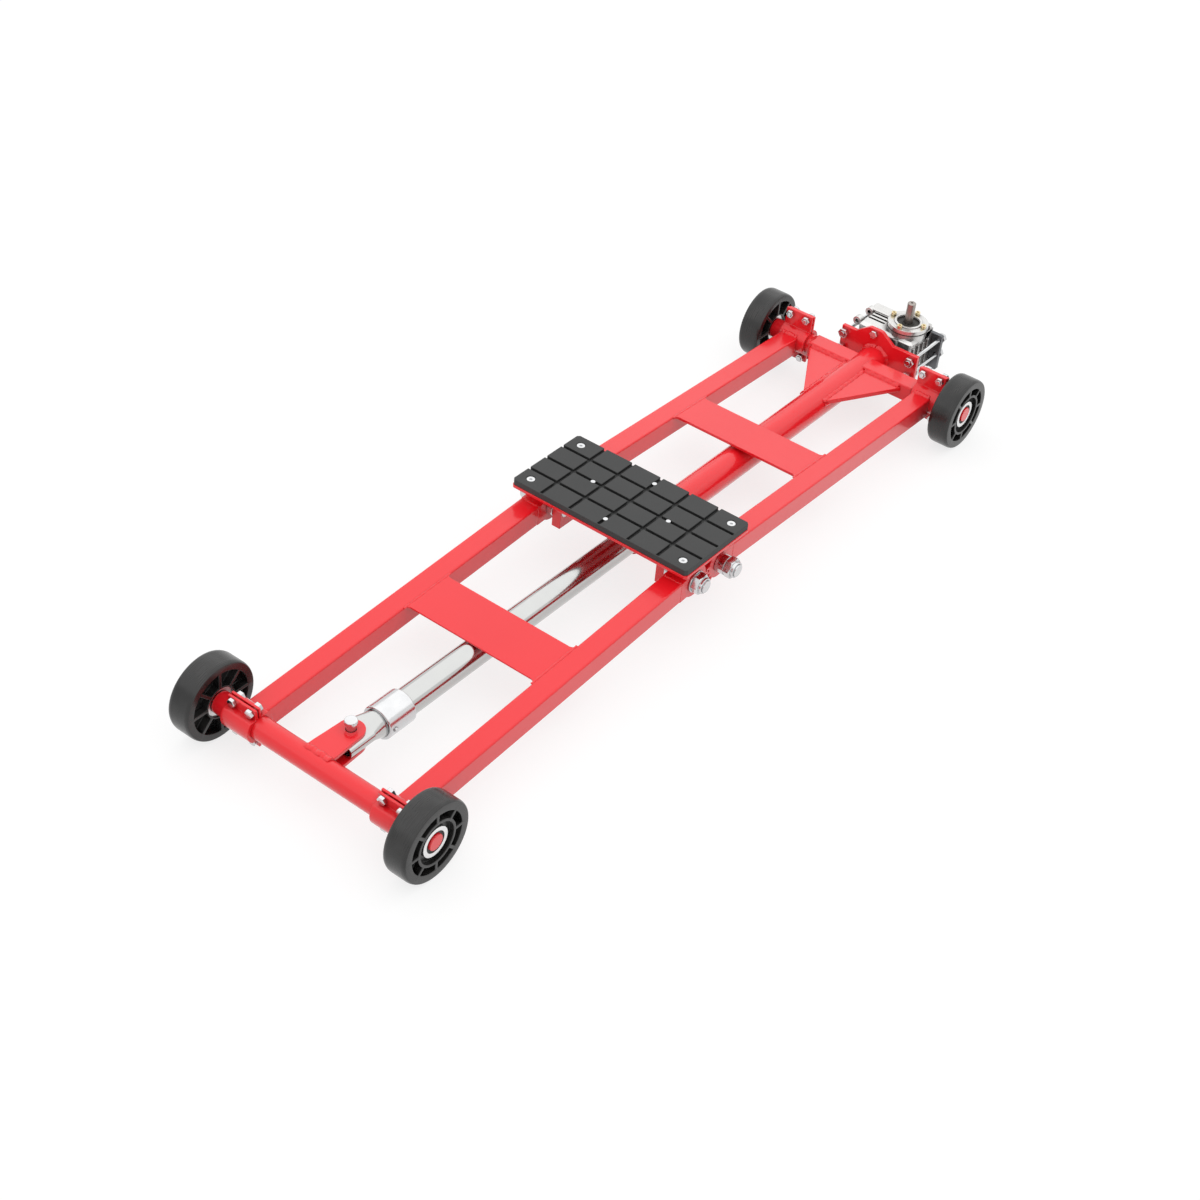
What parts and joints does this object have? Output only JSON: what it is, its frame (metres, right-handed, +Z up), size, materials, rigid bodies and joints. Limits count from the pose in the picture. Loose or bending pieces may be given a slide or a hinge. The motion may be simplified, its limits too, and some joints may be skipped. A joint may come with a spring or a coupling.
{
  "type": "portable car lift",
  "caption": "Low wheeled car lift: geared folding arms raise a rubber-padded platform as a telescopic screw tube with a worm gearbox draws the axles together.",
  "frame": {"origin": "centre of the bounding box at floor level, under the screw tube's axis", "axes": "+X along the lift towards the gearbox, +Y to the left seen from the idle end, +Z up"},
  "size_m": [1.5755, 0.43, 0.155],
  "materials": {
    "red_paint": "smooth glossy red powder coat",
    "chrome_tube": "bright plated tube",
    "zinc_steel": "bright zinc plating",
    "bearing_steel": "ground bearing rings",
    "black_nylon": "satin black moulded nylon",
    "pad_rubber": "dark grey moulded rubber",
    "cast_aluminium": "bright die-cast skin",
    "dark_steel": "dark grey paint",
    "yellow_zinc": "yellow zinc plating on steel screws",
    "seal_rubber": "black seal",
    "bare_steel": "turned steel",
    "bronze": "machined bronze"
  },
  "bodies": {
    "gear_end": {"axle_gear_left": "red_paint", "axle_gear_right": "red_paint", "screw_tube": "red_paint", "guide_bush": "bronze", "thrust_bearing": "bare_steel", "gussets": "red_paint", "flange_plate": "red_paint", "flange_bolt": "zinc_steel", "adapter_plate": "zinc_steel", "rear_plate": "dark_steel", "tie_studs": "zinc_steel", "tie_nuts": "zinc_steel", "gearbox_housing": "cast_aluminium", "input_cover": "cast_aluminium", "input_seal": "seal_rubber", "cover_screws": "yellow_zinc"},
    "screw_drive": {"lead_screw": "bare_steel", "worm_wheel": "bronze"},
    "input_drive": {"input_shaft": "bare_steel"},
    "platform": {"platform_plate": "red_paint", "rubber_pad": "pad_rubber", "pad_screws": "zinc_steel", "pivot_ear_left": "red_paint", "pivot_ear_right": "red_paint", "pivot_bolts": "zinc_steel", "pivot_spacers": "zinc_steel", "pivot_nuts": "zinc_steel"},
    "idle_end": {"axle_idle": "red_paint", "clevis_ears": "red_paint", "clevis_pin": "zinc_steel", "push_tube": "chrome_tube", "drive_nut": "bronze", "sleeve": "zinc_steel", "sleeve_pin": "zinc_steel"},
    "idle_arms": {"cross_plate_idle": "red_paint", "clamp_caps_idle": "red_paint", "clamp_bolts_idle": "zinc_steel", "rail_idle_left": "red_paint", "tooth_sector_idle_left": "red_paint", "clamp_idle_left": "red_paint", "rail_idle_right": "red_paint", "tooth_sector_idle_right": "red_paint", "clamp_idle_right": "red_paint"},
    "idle_wheel_left": {"wheel_idle_left": "black_nylon", "bearings_idle_left": "bearing_steel"},
    "idle_wheel_right": {"wheel_idle_right": "black_nylon", "bearings_idle_right": "bearing_steel"},
    "gear_arms": {"cross_plate_gear": "red_paint", "clamp_caps_gear": "red_paint", "clamp_bolts_gear": "zinc_steel", "rail_gear_left": "red_paint", "tooth_sector_gear_left": "red_paint", "clamp_gear_left": "red_paint", "rail_gear_right": "red_paint", "tooth_sector_gear_right": "red_paint", "clamp_gear_right": "red_paint"},
    "gear_wheel_left": {"wheel_gear_left": "black_nylon", "bearings_gear_left": "bearing_steel"},
    "gear_wheel_right": {"wheel_gear_right": "black_nylon", "bearings_gear_right": "bearing_steel"}
  },
  "joints": [
    {"name": "lift", "type": "hinge", "parent": "gear_end", "child": "gear_arms", "pos_m": [0.62475, 0, 0.0625], "axis": [0, 1, 0], "range_deg": [0, 45]},
    {"name": "platform_pivot", "type": "hinge", "parent": "gear_arms", "child": "platform", "pos_m": [-0.01825, 0, 0.082], "axis": [0, 1, 0], "range_deg": [-45, 0]},
    {"name": "idle_pivot", "type": "hinge", "parent": "platform", "child": "idle_arms", "pos_m": [-0.08225, 0, 0.082], "axis": [0, 1, 0], "range_deg": [-45, 0]},
    {"name": "idle_hinge", "type": "hinge", "parent": "idle_arms", "child": "idle_end", "pos_m": [-0.72525, 0, 0.0625], "axis": [0, 1, 0], "range_deg": [0, 45]},
    {"name": "screw_turn", "type": "hinge", "parent": "gear_end", "child": "screw_drive", "pos_m": [0.73175, 0, 0.0535], "axis": [1, 0, 0], "continuous": true},
    {"name": "input_turn", "type": "hinge", "parent": "gear_end", "child": "input_drive", "pos_m": [0.73175, -0.024, 0.0535], "axis": [0, 0, 1], "continuous": true},
    {"name": "gear_wheel_left_spin", "type": "hinge", "parent": "gear_end", "child": "gear_wheel_left", "pos_m": [0.62475, 0, 0.0625], "axis": [0, 1, 0], "continuous": true},
    {"name": "gear_wheel_right_spin", "type": "hinge", "parent": "gear_end", "child": "gear_wheel_right", "pos_m": [0.62475, 0, 0.0625], "axis": [0, 1, 0], "continuous": true},
    {"name": "idle_wheel_left_spin", "type": "hinge", "parent": "idle_end", "child": "idle_wheel_left", "pos_m": [-0.72525, 0, 0.0625], "axis": [0, 1, 0], "continuous": true},
    {"name": "idle_wheel_right_spin", "type": "hinge", "parent": "idle_end", "child": "idle_wheel_right", "pos_m": [-0.72525, 0, 0.0625], "axis": [0, 1, 0], "continuous": true}
  ],
  "couplings": [
    {"joint": "platform_pivot", "follows": "lift", "ratio": -1},
    {"joint": "idle_pivot", "follows": "lift", "ratio": -1},
    {"joint": "idle_hinge", "follows": "lift", "ratio": 1},
    {"joint": "input_turn", "follows": "screw_turn", "ratio": 20}
  ]
}
